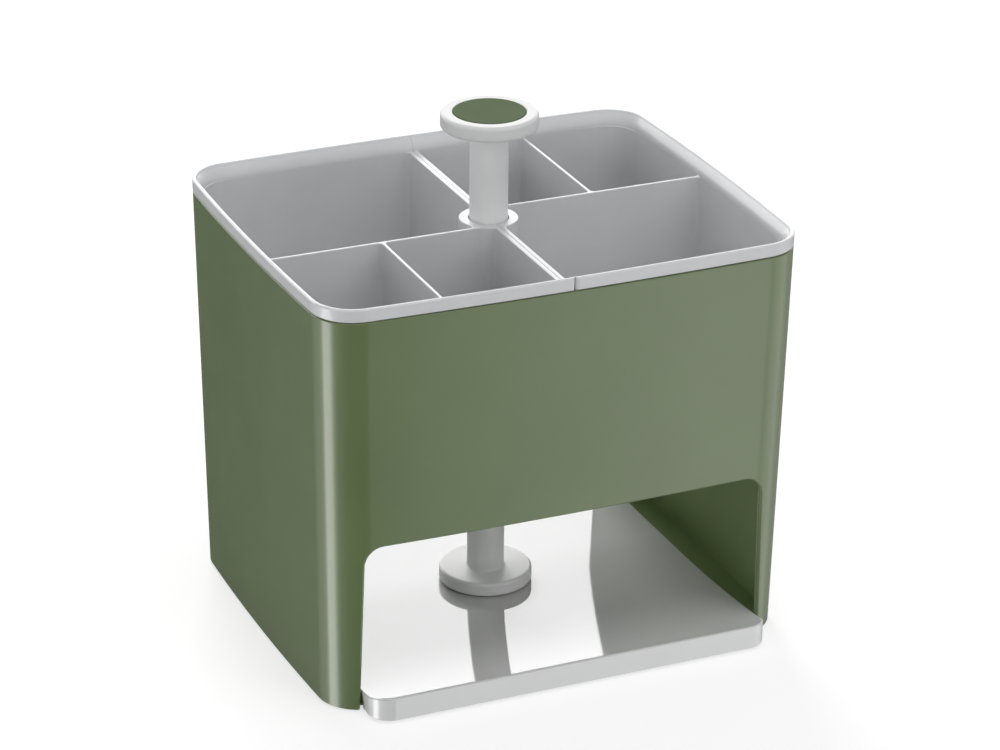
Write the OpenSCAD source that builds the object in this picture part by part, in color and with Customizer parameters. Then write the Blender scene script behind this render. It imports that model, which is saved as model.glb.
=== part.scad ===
// Counter-top utensil caddy: a bottomless casing with two half trays on top,
// a napkin bay with a sliding drawer below, and a weighted napkin presser on a post.
// Millimetres. The origin is on the table, in the middle of the whole caddy; the front faces -Y.

/* [Casing] */
// Outside width at the top edge, across the bowed sides
casing_w = 219; // [190:1:260]
// Outside depth at the top edge, across the bowed sides
casing_d = 179.3; // [160:0.1:220]
// Height of the top edge above the table
casing_top = 178; // [150:0.5:220]
// Radius of the four upright corners
corner_r = 18.5; // [14:0.5:26]
// How far each side bulges at its middle
side_bow = 2.5; // [0.5:0.1:5]
// How much each side leans in from the top to the table
draft = 3; // [0:0.1:6]
// Wall thickness
casing_wall = 2.5; // [1.5:0.1:4]

/* [Napkin openings] */
// Width of the casing left beside the openings at their top
leg_top_w = 16.8; // [14:0.1:40]
// Width of the casing left beside the openings at the table
leg_foot_w = 13.5; // [11:0.1:25]
// Height of the openings
opening_h = 76; // [50:1:90]
// Radius of the openings' upper corners
opening_r = 8.4; // [2:0.1:20]

/* [Drawer runners and feet] */
// How far the feet lift the casing
foot_lift = 0.6; // [0.2:0.1:2]
// Radius of one foot
foot_r = 6; // [3:0.5:8]
// Depth of the pocket that a foot sits in
foot_pocket = 1; // [0.5:0.1:1.4]
// Distance of the feet from the middle, front to back
foot_y = 56; // [30:1:60]
// Thickness of the runner ledges
ledge_t = 2; // [1.6:0.1:3]
// How far a ledge reaches under the drawer
ledge_under = 8.5; // [5:0.5:14]
// Thickness of the guide ribs on the ledges
guide_t = 1.5; // [1:0.1:2.5]
// Height of the guide ribs above the ledges
guide_h = 1.4; // [1:0.1:1.8]
// Side clearance between the drawer and a guide rib
guide_gap = 0.7; // [0.3:0.1:1.5]

/* [Drawer] */
// Clearance between the drawer and the opening's side, at the lip
drawer_gap = 1; // [0.5:0.1:12]
// How far the drawer stands out in front of the casing
drawer_overhang = 12; // [6:0.1:25]
// How far the drawer's rear edge lies inside the casing's back
drawer_setback = 9.8; // [9.5:0.1:25]
// Height of the front lip's top edge above the table
lip_top = 11.5; // [10:0.1:16]
// How far in front of the presser's axis the floor starts to rise toward the lip
rise_from = 24; // [22:1:50]
// Height of the fascia's lower edge above the table
fascia_foot = 1; // [0.5:0.1:2.2]
// Floor thickness
drawer_floor_t = 2.2; // [1.5:0.1:3.5]
// Thickness of the lip and of the drawer's sides
lip_t = 1.6; // [1.2:0.1:3]
// Radius between the floor and the lip
lip_fillet = 2.8; // [1.5:0.1:4]
// Radius of the two front corners
drawer_corner_r = 9.5; // [9:0.1:16]
// How far the drawer pulls out
drawer_travel = 130; // [60:1:140]
// Length of one stop ear
ear_l = 8; // [5:0.5:12]
// How far a stop ear stands out from the drawer's side
ear_out = 5.5; // [4.5:0.1:7]
// Thickness of one stop ear
ear_t = 2.6; // [2:0.1:4]
// How far a stop ear's root reaches over the floor
ear_root = 4; // [3:0.5:8]

/* [Trays] */
// Height of the trays' underside above the table
tray_foot = 82; // [80:0.5:110]
// Floor thickness
tray_floor_t = 2; // [1.5:0.1:3]
// Thickness of the trays' outer walls
tray_wall = 1.9; // [1.4:0.1:3]
// Clearance between the trays and the casing
tray_gap = 0.6; // [0.3:0.1:1.5]
// Height of the rim band above the casing
rim_h = 6; // [3:0.1:10]
// Thickness of the rim at its top
rim_t = 1.9; // [1.2:0.1:3]
// Thickness of the neck that joins the rim to a tray's wall
rim_neck = 1.3; // [0.9:0.1:1.7]
// Depth of the dividers' tops and the shoulder below the casing's top edge
shoulder_drop = 0.5; // [0.2:0.1:2]
// Thickness of each of the two walls along the split
long_wall_t = 2.4; // [1.5:0.1:3.5]
// Thickness of the other dividers
divider_t = 1.9; // [1.2:0.1:3]
// Distance of the cross divider from the middle
cross_y = 9.4; // [7:0.1:30]
// Distance of the small divider from the split
small_x = 51.8; // [35:0.1:70]
// Radius in the corners of the compartments
pocket_r = 1.5; // [1.5:0.1:6]
// Radius of the outer corners at the split
split_r = 2; // [1:0.1:3]
// Gap between the two trays
split_gap = 0.1; // [0.05:0.05:0.4]
// Radius of the ring round the post
ring_r = 12.9; // [11.5:0.1:18]

/* [Presser] */
// Outside radius of the post
post_r = 8.25; // [7.5:0.05:9]
// Bore radius of the post
post_bore = 6.3; // [5.5:0.1:6.6]
// Clearance round the post in the ring
post_gap = 0.5; // [0.3:0.05:1]
// Radius of the presser disc
disc_r = 20.65; // [18:0.05:30]
// Thickness of the presser disc
disc_t = 6.4; // [5.8:0.1:9]
// Rounding of the presser disc's edges
disc_edge = 2; // [1:0.1:2.8]
// Clearance between the presser disc and the drawer's floor
rest_gap = 0.5; // [0.3:0.1:0.9]
// Height of the knob's top above the table
knob_top = 225.4; // [215:0.1:250]
// Radius of the knob
knob_r = 21; // [18:0.1:28]
// Thickness of the knob
knob_t = 7; // [6.6:0.1:12]
// Rounding of the knob's edges
knob_edge = 2.2; // [1:0.1:3]
// Radius of the inlay
inlay_r = 15.6; // [10:0.1:17.5]
// Thickness of the inlay
inlay_t = 1.6; // [1:0.1:1.8]
// Depth of the knob's pocket for the inlay
inlay_pocket = 1.4; // [0.8:0.1:1.6]
// Length of the spigots that plug into the post
spigot_l = 7; // [4:0.5:10]
// Radial clearance between pieces that plug together
plug_gap = 0.05; // [0.02:0.01:0.1]
// Radius of the screws' shanks
screw_r = 2; // [1.5:0.1:2.5]
// Radius of the screws' heads
screw_head_r = 3.8; // [3:0.1:4.5]
// Thickness of the screws' heads
screw_head_t = 2.2; // [1.5:0.1:2.6]
// Length of the screws' shanks
screw_l = 18; // [14:1:26]
// Size across the flats of the screws' hexagon sockets
hex_af = 2.5; // [2:0.1:3]

/* [Hidden] */

SAGE = [0.40, 0.45, 0.35];
WHITE = [0.93, 0.93, 0.92];
GREY = [0.76, 0.77, 0.79];
STEEL = [0.62, 0.63, 0.65];
RUBBER = [0.22, 0.22, 0.22];

// Overshoot of cuts
eps = 0.5;
// Longest straight piece of a bowed side
chord = 6;
// Clearance between stacked depths, such as a screw head under its cover
seat_gap = 0.3;
// Straight pieces of the drawer floor's rise
floor_steps = 12;
// Share of the floor's run at which the hollow under it starts
hollow_share = 0.35;

rim_top = casing_top + rim_h;
shoulder_z = casing_top - shoulder_drop;
tray_floor_z = tray_foot + tray_floor_t;
tray_inset = casing_wall + tray_gap;
rim_foot_t = tray_inset + rim_neck;
opening_foot = casing_half(casing_w, 0) - leg_foot_w;
opening_top = casing_half(casing_w, opening_h) - leg_top_w;
opening_lean = (opening_foot - opening_top) / opening_h;
ledge_top = foot_lift + ledge_t;
drawer_floor_z = ledge_top + drawer_floor_t;
drawer_half = opening_foot - opening_lean * lip_top - drawer_gap;
drawer_front = casing_half(casing_d, lip_top) + drawer_overhang;
drawer_rear = casing_half(casing_d, lip_top) - drawer_setback;
guide_x = drawer_half + guide_gap;
disc_foot = drawer_floor_z + rest_gap;
disc_top = disc_foot + disc_t;
knob_foot = knob_top - knob_t;
ear_x = drawer_half + ear_out;
fascia_back = casing_half(casing_d, lip_top) + 2 * seat_gap;
floor_run = drawer_front - lip_t - lip_fillet - rise_from;
floor_rise = lip_top - lip_fillet - drawer_floor_z;
// The drawer stands out in front, so the casing's middle lies behind the origin
centre_y = (drawer_front - casing_half(casing_d, rim_top)) / 2;

// Half of a casing size at a height above the table
function casing_half(size, z) = size / 2 - draft * (casing_top - z) / casing_top;

// Inside of the front corner at a distance x from the middle, as a depth
function corner_depth(x) =
    let (inner_r = corner_r - casing_wall,
         mid_x = casing_half(casing_w, lip_top) - side_bow - corner_r,
         mid_y = casing_half(casing_d, lip_top) - side_bow - corner_r)
    mid_y + sqrt(max(inner_r ^ 2 - max(x - mid_x, 0) ^ 2, 0));

ear_y = drawer_travel - corner_depth(ear_x) + seat_gap;

// Moves what is drawn round the presser's axis to its place in the caddy
module centred() {
    translate([0, centre_y, 0]) children();
}

// Circle through the middle and the ends of a bowed side
function bow_radius(length) = ((length / 2) ^ 2 + side_bow ^ 2) / (2 * side_bow);

// One bowed side as a very large disc whose rim passes at half_depth
module bow_disc(length, half_depth) {
    radius = bow_radius(length);
    translate([0, half_depth - radius])
        circle(r = radius, $fn = 8 * ceil(PI * radius / (4 * chord)));
}

// Plan outline of the casing, with bowed sides and round corners
module plan(w, d, r) {
    offset(r = r, $fn = 72) offset(delta = -r)
        intersection() {
            bow_disc(w, d / 2);
            rotate(180) bow_disc(w, d / 2);
            rotate(90) bow_disc(d, w / 2);
            rotate(-90) bow_disc(d, w / 2);
        }
}

// Extrudes a plan so that it follows the casing's draft from z0 to z1
module follow_draft(z0, z1, inset0, inset1) {
    w0 = casing_half(casing_w, z0) - inset0;
    d0 = casing_half(casing_d, z0) - inset0;
    w1 = casing_half(casing_w, z1) - inset1;
    d1 = casing_half(casing_d, z1) - inset1;
    translate([0, 0, z0])
        linear_extrude(height = z1 - z0, scale = [w1 / w0, d1 / d0], slices = 1)
            children();
}

// Plan of the casing at a height, drawn in by inset
module plan_at(z, inset) {
    plan(2 * (casing_half(casing_w, z) - inset), 2 * (casing_half(casing_d, z) - inset),
         corner_r - inset);
}

// Solid that follows the outside of the casing
module block(z0, z1, inset0, inset1) {
    follow_draft(z0, z1, inset0, inset1) plan_at(z0, inset0);
}

// Solid disc with round edges, standing on the plane z = 0
module round_disc(r, t, edge) {
    rotate_extrude($fn = 144) {
        square([r - edge, t]);
        translate([0, edge]) square([r, t - 2 * edge]);
        translate([r - edge, edge]) circle(r = edge, $fn = 48);
        translate([r - edge, t - edge]) circle(r = edge, $fn = 48);
    }
}

// Both napkin openings, front and rear, as one cut along Y
module napkin_cut() {
    over_x = opening_foot + opening_lean * 2 * opening_r;
    rotate([90, 0, 0])
        linear_extrude(height = casing_d + 2 * eps, center = true)
            offset(r = opening_r, $fn = 64) offset(delta = -opening_r)
                polygon([[-opening_top, opening_h], [opening_top, opening_h],
                         [over_x, -2 * opening_r], [-over_x, -2 * opening_r]]);
}

// Places its children at the four feet
module at_feet() {
    ledge_in = drawer_half - ledge_under;
    ledge_out = casing_half(casing_w, foot_lift) - casing_wall;
    for (side = [-1, 1], end = [-1, 1])
        translate([side * (ledge_in + ledge_out) / 2, end * foot_y, 0])
            children();
}

// Runner ledge, guide rib and rear stop on both sides, inside the casing
module runners() {
    reach = casing_half(casing_w, casing_top);
    run = corner_depth(guide_x);
    ledge_in = drawer_half - ledge_under;
    for (side = [0, 1]) mirror([side, 0, 0]) {
        translate([ledge_in, -run, foot_lift]) cube([reach - ledge_in, 2 * run, ledge_t]);
        translate([guide_x, -run, foot_lift]) cube([guide_t, 2 * run, ledge_t + guide_h]);
        translate([ledge_in, drawer_rear + seat_gap, foot_lift])
            cube([guide_x + guide_t - ledge_in, run - drawer_rear - seat_gap,
                  ledge_t + guide_h]);
    }
}

module outer_casing() {
    color(SAGE) centred()
    difference() {
        union() {
            difference() {
                block(foot_lift, casing_top, 0, 0);
                block(foot_lift - eps, casing_top + eps, casing_wall, casing_wall);
                napkin_cut();
            }
            intersection() {
                block(foot_lift, casing_top, casing_wall / 2, casing_wall / 2);
                runners();
            }
        }
        at_feet() cylinder(r = foot_r + plug_gap, h = foot_lift + foot_pocket, $fn = 64);
    }
}

module non_slip_feet() {
    color(RUBBER) centred()
    at_feet() cylinder(r = foot_r, h = foot_lift + foot_pocket, $fn = 64);
}

// Left half of the casing's plan, with small round corners at the split
module half_plan(z, inset) {
    reach = casing_w + casing_d;
    offset(r = split_r, $fn = 32) offset(delta = -split_r)
        intersection() {
            plan_at(z, inset);
            translate([-reach - split_gap / 2, -reach]) square([reach, 2 * reach]);
        }
}

// One compartment in plan: everything inside the tray walls within x0..x1 and y0..y1
module pocket_plan(x0, x1, y0, y1) {
    offset(r = pocket_r, $fn = 48) offset(delta = -pocket_r)
        difference() {
            intersection() {
                plan_at(tray_floor_z, tray_inset + tray_wall);
                translate([x0, y0]) square([x1 - x0, y1 - y0]);
            }
            circle(r = ring_r, $fn = 96);
        }
}

// Left half tray: one large compartment at the back, two small ones in front
module half_tray() {
    inset = tray_inset + tray_wall;
    half = divider_t / 2;
    far = casing_w;
    difference() {
        union() {
            follow_draft(casing_top, rim_top, 0, 0) half_plan(casing_top, 0);
            follow_draft(tray_foot, casing_top, tray_inset, tray_inset)
                half_plan(tray_foot, tray_inset);
        }
        block(shoulder_z, rim_top, rim_foot_t, rim_t);
        follow_draft(tray_floor_z, shoulder_z + eps, inset, inset) {
            pocket_plan(-far, -long_wall_t, -cross_y + half, far);
            pocket_plan(-small_x + half, -long_wall_t, -far, -cross_y - half);
            pocket_plan(-far, -small_x - half, -far, -cross_y - half);
        }
        translate([0, 0, tray_foot - eps])
            cylinder(r = post_r + post_gap, h = rim_top - tray_foot, $fn = 96);
    }
}

module left_tray() {
    color(GREY) centred() half_tray();
}

module right_tray() {
    color(GREY) centred() rotate([0, 0, 180]) half_tray();
}

module post_tube() {
    color(WHITE) centred()
    translate([0, 0, disc_top])
        difference() {
            cylinder(r = post_r, h = knob_foot - disc_top, $fn = 96);
            translate([0, 0, -eps])
                cylinder(r = post_bore, h = knob_foot - disc_top + 2 * eps, $fn = 96);
        }
}

module weight_rod() {
    foot = disc_top + spigot_l;
    top = knob_foot - spigot_l;
    color(STEEL) centred()
    difference() {
        translate([0, 0, foot])
            cylinder(r = post_bore - plug_gap, h = top - foot, $fn = 72);
        translate([0, 0, foot - eps])
            cylinder(r = screw_r + plug_gap, h = screw_l + eps, $fn = 32);
        translate([0, 0, top - screw_l])
            cylinder(r = screw_r + plug_gap, h = screw_l + eps, $fn = 32);
    }
}

// Spigot that plugs into one end of the post, standing on z = 0
module spigot() {
    cylinder(r = post_bore - plug_gap, h = spigot_l, $fn = 72);
}

// Stepped hole for a screw whose head seat is at z = 0, with the head above it
module screw_hole(below) {
    cylinder(r = screw_head_r + seat_gap, h = screw_head_t + below, $fn = 48);
    translate([0, 0, -below]) cylinder(r = screw_r + plug_gap, h = below + eps, $fn = 32);
}

// Screw whose head seat is at z = 0, with the shank pointing down
module screw() {
    difference() {
        union() {
            cylinder(r = screw_head_r, h = screw_head_t, $fn = 48);
            translate([0, 0, -screw_l]) cylinder(r = screw_r, h = screw_l, $fn = 32);
        }
        translate([0, 0, screw_head_t / 3])
            cylinder(d = hex_af / cos(30), h = screw_head_t, $fn = 6);
    }
}

knob_screw_z = knob_top - inlay_pocket - seat_gap - screw_head_t;
disc_screw_z = disc_foot + seat_gap + screw_head_t;

module knob() {
    color(WHITE) centred()
    difference() {
        union() {
            translate([0, 0, knob_foot]) round_disc(knob_r, knob_t, knob_edge);
            translate([0, 0, knob_foot - spigot_l]) spigot();
        }
        translate([0, 0, knob_top - inlay_pocket])
            cylinder(r = inlay_r + plug_gap, h = inlay_pocket + eps, $fn = 120);
        translate([0, 0, knob_screw_z]) screw_hole(knob_t + spigot_l);
    }
}

module knob_screw() {
    color(STEEL) centred() translate([0, 0, knob_screw_z]) screw();
}

module knob_inlay() {
    color(SAGE) centred()
    translate([0, 0, knob_top - inlay_pocket])
        cylinder(r = inlay_r, h = inlay_t, $fn = 120);
}

module presser_disc() {
    color(WHITE) centred()
    difference() {
        union() {
            translate([0, 0, disc_foot]) round_disc(disc_r, disc_t, disc_edge);
            translate([0, 0, disc_top]) spigot();
        }
        translate([0, 0, disc_screw_z]) mirror([0, 0, 1]) screw_hole(disc_t + spigot_l);
    }
}

module disc_screw() {
    color(STEEL) centred() translate([0, 0, disc_screw_z]) mirror([0, 0, 1]) screw();
}

// Drawer in plan, drawn in by inset at the front and the sides
module drawer_plan(inset) {
    r = max(drawer_corner_r - inset, eps);
    half = drawer_half - inset;
    front = -drawer_front + inset;
    translate([-half, front + r]) square([2 * half, drawer_rear - front - r]);
    translate([-half + r, front]) square([2 * half - 2 * r, 2 * r]);
    for (side = [-1, 1])
        translate([side * (half - r), front + r]) circle(r = r, $fn = 48);
}

// The floor's side view from share first of its run to the lip, dropped by drop, as [y, z]
function floor_line(first, drop) =
    [for (i = [0:floor_steps])
        let (share = first + (1 - first) * i / floor_steps)
        [-rise_from - floor_run * share, drawer_floor_z - drop + floor_rise * share ^ 2]];

// Side view of the drawer's outside, with a quarter round from the floor up to the lip
module drawer_outside() {
    lip_y = -drawer_front + lip_t;
    polygon(concat(
        [[drawer_rear, fascia_foot], [drawer_rear, drawer_floor_z]],
        floor_line(0, 0),
        [for (turn = [15:15:90])
            [lip_y + lip_fillet * (1 - sin(turn)), lip_top - lip_fillet * cos(turn)]],
        [[-drawer_front, lip_top], [-drawer_front, fascia_foot]]));
}

// Side view of the hollow under the drawer's raised front
module drawer_underside() {
    under = floor_line(hollow_share, drawer_floor_t);
    polygon(concat(under, [[under[floor_steps][0], 0], [under[0][0], 0]]));
}

// Extrudes a side view, given as y and z, across the drawer's width
module across(half) {
    rotate([90, 0, 90]) linear_extrude(height = 2 * half, center = true) children();
}

module drawer() {
    ear_foot = ledge_top + guide_h + seat_gap;
    color(WHITE) centred() {
        difference() {
            intersection() {
                across(drawer_half) drawer_outside();
                linear_extrude(height = lip_top) drawer_plan(0);
            }
            intersection() {
                across(drawer_half - lip_t) drawer_underside();
                linear_extrude(height = lip_top) drawer_plan(lip_t);
            }
            translate([-casing_w / 2, -fascia_back, 0]) cube([casing_w, casing_d, ledge_top]);
        }
        for (side = [0, 1]) mirror([side, 0, 0])
            translate([drawer_half - ear_root, ear_y, ear_foot])
                cube([ear_root + ear_out, ear_l, ear_t]);
    }
}

outer_casing();
non_slip_feet();
left_tray();
right_tray();
post_tube();
weight_rod();
knob();
knob_screw();
knob_inlay();
presser_disc();
disc_screw();
drawer();
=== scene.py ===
import math

import bpy
from mathutils import Matrix, Vector
from mathutils.geometry import tessellate_polygon


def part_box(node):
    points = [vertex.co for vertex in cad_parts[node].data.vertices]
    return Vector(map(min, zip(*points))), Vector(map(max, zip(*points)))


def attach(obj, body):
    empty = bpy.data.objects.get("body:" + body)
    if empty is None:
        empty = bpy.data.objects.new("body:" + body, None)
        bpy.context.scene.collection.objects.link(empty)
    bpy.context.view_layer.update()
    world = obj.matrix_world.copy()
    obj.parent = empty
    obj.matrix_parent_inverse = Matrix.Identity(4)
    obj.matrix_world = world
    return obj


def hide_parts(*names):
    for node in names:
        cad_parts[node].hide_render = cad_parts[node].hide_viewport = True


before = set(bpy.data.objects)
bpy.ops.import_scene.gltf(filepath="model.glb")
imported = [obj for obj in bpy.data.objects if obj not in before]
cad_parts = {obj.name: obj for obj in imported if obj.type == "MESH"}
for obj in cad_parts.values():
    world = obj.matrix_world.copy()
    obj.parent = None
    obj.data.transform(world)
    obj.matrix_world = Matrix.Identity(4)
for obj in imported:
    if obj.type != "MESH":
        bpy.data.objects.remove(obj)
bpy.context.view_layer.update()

# Sizes in millimetres, as in the CAD part, apart from RISE_FROM, LIP_FILLET, DISC_EDGE and
# KNOB_EDGE, which were set against the photograph.
MM = 0.001
CASING_W, CASING_D, CASING_TOP = 219.0, 179.3, 178.0
CORNER_R, SIDE_BOW, DRAFT, CASING_WALL = 18.5, 2.5, 3.0, 2.5
LEG_TOP_W, LEG_FOOT_W, OPENING_H, OPENING_R = 16.8, 13.5, 76.0, 8.4
FOOT_LIFT, LEDGE_T, LEDGE_UNDER, GUIDE_T, GUIDE_H, GUIDE_GAP = 0.6, 2.0, 8.5, 1.5, 1.4, 0.7
DRAWER_GAP, DRAWER_OVERHANG, DRAWER_SETBACK, LIP_TOP, RISE_FROM = 1.0, 12.0, 9.8, 11.5, 8.0
FASCIA_FOOT, DRAWER_FLOOR_T, LIP_T, LIP_FILLET, DRAWER_CORNER_R = 1.0, 2.2, 1.6, 1.2, 9.5
DRAWER_TRAVEL, EAR_L, EAR_OUT, EAR_T, EAR_ROOT, SEAT_GAP = 130.0, 8.0, 5.5, 2.6, 4.0, 0.3
TRAY_FOOT, TRAY_FLOOR_T, TRAY_WALL, TRAY_GAP = 82.0, 2.0, 1.9, 0.6
RIM_H, RIM_T, RIM_NECK, SHOULDER_DROP = 6.0, 1.9, 1.3, 0.5
LONG_WALL_T, DIVIDER_T, CROSS_Y, SMALL_X = 2.4, 1.9, 9.4, 51.8
POCKET_R, SPLIT_R, SPLIT_GAP, RING_R = 1.5, 2.0, 0.1, 12.9
POST_R, POST_GAP, DISC_R, DISC_T, DISC_EDGE = 8.25, 0.5, 20.65, 6.4, 1.4
KNOB_R, KNOB_T, KNOB_EDGE, INLAY_R, INLAY_POCKET = 21.0, 7.0, 1.7, 15.6, 1.4

post_low, post_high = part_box("post_tube")
AXIS_Y = (post_low.y + post_high.y) / 2 / MM
DISC_TOP = post_low.z / MM
KNOB_FOOT = post_high.z / MM
KNOB_TOP = KNOB_FOOT + KNOB_T


def half_size(size, z):
    """Half of a casing size at the height z."""
    return size / 2 - DRAFT * (CASING_TOP - z) / CASING_TOP


OPENING_FOOT = half_size(CASING_W, 0) - LEG_FOOT_W
OPENING_LEAN = (OPENING_FOOT - half_size(CASING_W, OPENING_H) + LEG_TOP_W) / OPENING_H
LEDGE_TOP = FOOT_LIFT + LEDGE_T
DRAWER_FLOOR = LEDGE_TOP + DRAWER_FLOOR_T
DRAWER_HALF = OPENING_FOOT - OPENING_LEAN * LIP_TOP - DRAWER_GAP
DRAWER_FRONT = half_size(CASING_D, LIP_TOP) + DRAWER_OVERHANG
DRAWER_REAR = half_size(CASING_D, LIP_TOP) - DRAWER_SETBACK
TRAY_INSET = CASING_WALL + TRAY_GAP
SHOULDER_Z = CASING_TOP - SHOULDER_DROP
RIM_TOP = CASING_TOP + RIM_H
TRAY_FLOOR_Z = TRAY_FOOT + TRAY_FLOOR_T


# Mesh building

class Shell:
    """Collects faces with their own corner normals, in millimetres about the presser's axis."""

    def __init__(self):
        self.points, self.index, self.faces, self.normals = [], {}, [], []

    def vertex(self, p):
        key = (round(p[0], 4), round(p[1], 4), round(p[2], 4))
        if key not in self.index:
            self.index[key] = len(self.points)
            self.points.append(p)
        return self.index[key]

    def face(self, corners):
        ids, normals = [], []
        for p, n in corners:
            i = self.vertex(p)
            if i not in ids:
                ids.append(i)
                normals.append(n)
        if len(ids) < 3:
            return
        area = Vector((0, 0, 0))
        first = Vector(self.points[ids[0]])
        for a, b in zip(ids[1:], ids[2:]):
            area += (Vector(self.points[a]) - first).cross(Vector(self.points[b]) - first)
        mean = sum((Vector(n) for n in normals), Vector((0, 0, 0)))
        if area.dot(mean) < 0:
            ids.reverse()
            normals.reverse()
        self.faces.append(ids)
        self.normals.extend(normals)

    def grid(self, rows, closed=False):
        """Faces between neighbouring rows of (point, normal) pairs."""
        for low, high in zip(rows, rows[1:]):
            count = len(low)
            for j in range(count if closed else count - 1):
                k = (j + 1) % count
                self.face([low[j], low[k], high[k], high[j]])

    def fill(self, loops, normal):
        """A flat face inside the first loop and outside the others."""
        flat = [Vector(p) for loop in loops for p in loop]
        for tri in tessellate_polygon([[Vector(p) for p in loop] for loop in loops]):
            self.face([(tuple(flat[i]), normal) for i in tri])

    def build(self, name):
        mesh = bpy.data.meshes.new(name)
        points = [(x * MM, (y + AXIS_Y) * MM, z * MM) for x, y, z in self.points]
        mesh.from_pydata(points, [], self.faces)
        mesh.polygons.foreach_set("use_smooth", [True] * len(mesh.polygons))
        mesh.normals_split_custom_set([Vector(n).normalized() for n in self.normals])
        mesh.update()
        piece = bpy.data.objects.new(name, mesh)
        bpy.context.scene.collection.objects.link(piece)
        return piece


def merge(target, shell, matrix):
    """Adds a shell's faces, with every point and normal moved by a 3 by 3 matrix."""
    start = 0
    for ids in shell.faces:
        normals = shell.normals[start:start + len(ids)]
        target.face([(tuple(matrix @ Vector(shell.points[i])), tuple(matrix @ Vector(n)))
                     for i, n in zip(ids, normals)])
        start += len(ids)


# Plan outlines

def bow(length):
    """Radius of a side of that length that bulges by SIDE_BOW."""
    return ((length / 2) ** 2 + SIDE_BOW ** 2) / (2 * SIDE_BOW)


def line(x, y, dx, dy):
    return ("line", x, y, dx, dy)


def circle(x, y, r, inside=True):
    return ("circle", x, y, r, inside)


def inward(prim, r):
    """The line or circle that lies r inside the region from this one."""
    if prim[0] == "line":
        _, x, y, dx, dy = prim
        return ("line", x - dy * r, y + dx * r, dx, dy)
    _, x, y, radius, inside = prim
    return ("circle", x, y, radius - r if inside else radius + r, inside)


def crossings(a, b):
    if a[0] == "circle" and b[0] == "line":
        a, b = b, a
    if a[0] == "line" and b[0] == "line":
        det = a[3] * b[4] - a[4] * b[3]
        t = ((b[1] - a[1]) * b[4] - (b[2] - a[2]) * b[3]) / det
        return [(a[1] + a[3] * t, a[2] + a[4] * t)]
    if a[0] == "line":
        fx, fy = a[1] - b[1], a[2] - b[2]
        half = fx * a[3] + fy * a[4]
        root = math.sqrt(max(half * half - (fx * fx + fy * fy - b[3] ** 2), 0))
        return [(a[1] + a[3] * t, a[2] + a[4] * t) for t in (-half - root, -half + root)]
    dx, dy = b[1] - a[1], b[2] - a[2]
    gap = math.hypot(dx, dy)
    along = (gap * gap + a[3] ** 2 - b[3] ** 2) / (2 * gap)
    across = math.sqrt(max(a[3] ** 2 - along ** 2, 0))
    ux, uy = dx / gap, dy / gap
    return [(a[1] + ux * along - s * uy * across, a[2] + uy * along + s * ux * across)
            for s in (-1, 1)]


def touch(prim, centre):
    """Where a fillet with this centre meets the line or circle, and the outward normal there."""
    if prim[0] == "line":
        _, x, y, dx, dy = prim
        t = (centre[0] - x) * dx + (centre[1] - y) * dy
        return (x + dx * t, y + dy * t), (dy, -dx)
    _, x, y, r, inside = prim
    ux, uy = centre[0] - x, centre[1] - y
    size = math.hypot(ux, uy)
    ux, uy = ux / size, uy / size
    return (x + ux * r, y + uy * r), ((ux, uy) if inside else (-ux, -uy))


def outline(prims, corners, steps):
    """Closed loop of (x, y, nx, ny), anticlockwise, with a fillet between neighbours.

    corners[i] is (radius, hint x, hint y, steps) for the corner after prims[i], and
    steps[i] the number of points along prims[i].
    """
    count = len(prims)
    centres = []
    for i in range(count):
        r, hx, hy, _ = corners[i]
        found = crossings(inward(prims[i], r), inward(prims[(i + 1) % count], r))
        centres.append(min(found, key=lambda c: (c[0] - hx) ** 2 + (c[1] - hy) ** 2))
    loop = []
    for i in range(count):
        prim = prims[i]
        start, _ = touch(prim, centres[i - 1])
        end, n_end = touch(prim, centres[i])
        if prim[0] == "line":
            for k in range(steps[i] + 1):
                t = k / steps[i]
                loop.append((start[0] + (end[0] - start[0]) * t,
                             start[1] + (end[1] - start[1]) * t) + n_end)
        else:
            _, x, y, radius, inside = prim
            a0 = math.atan2(start[1] - y, start[0] - x)
            a1 = math.atan2(end[1] - y, end[0] - x)
            if inside and a1 < a0:
                a1 += 2 * math.pi
            if not inside and a1 > a0:
                a1 -= 2 * math.pi
            sign = 1 if inside else -1
            for k in range(steps[i] + 1):
                a = a0 + (a1 - a0) * k / steps[i]
                loop.append((x + radius * math.cos(a), y + radius * math.sin(a),
                             sign * math.cos(a), sign * math.sin(a)))
        r, _, _, parts = corners[i]
        _, n_next = touch(prims[(i + 1) % count], centres[i])
        a0 = math.atan2(n_end[1], n_end[0])
        a1 = math.atan2(n_next[1], n_next[0])
        if a1 < a0 - 1e-9:
            a1 += 2 * math.pi
        for k in range(1, parts):
            a = a0 + (a1 - a0) * k / parts
            loop.append((centres[i][0] + r * math.cos(a), centres[i][1] + r * math.sin(a),
                         math.cos(a), math.sin(a)))
    return loop


def sides(w, d):
    """Back, left, front and right circles of a plan with bowed sides."""
    rw, rd = bow(w), bow(d)
    return (circle(0, d / 2 - rw, rw), circle(-w / 2 + rd, 0, rd),
            circle(0, -d / 2 + rw, rw), circle(w / 2 - rd, 0, rd))


# Lofted solids

UP, DOWN, BACK = (0.0, 0.0, 1.0), (0.0, 0.0, -1.0), (0.0, 1.0, 0.0)
LATHE_PARTS, ARC_PARTS, RECT_PARTS = 160, 8, 4


def lifted(loop, z, inset, n_out, n_up):
    """Row of (point, normal) pairs: the loop drawn in by inset, at height z."""
    return [((x - nx * inset, y - ny * inset, z), (nx * n_out, ny * n_out, n_up))
            for x, y, nx, ny in loop]


def edge_turn(steps, start, end):
    """(sine, cosine) pairs of a quarter round between two angles in degrees."""
    for k in range(steps + 1):
        a = math.radians(start + (end - start) * k / steps)
        yield math.sin(a), math.cos(a)


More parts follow.
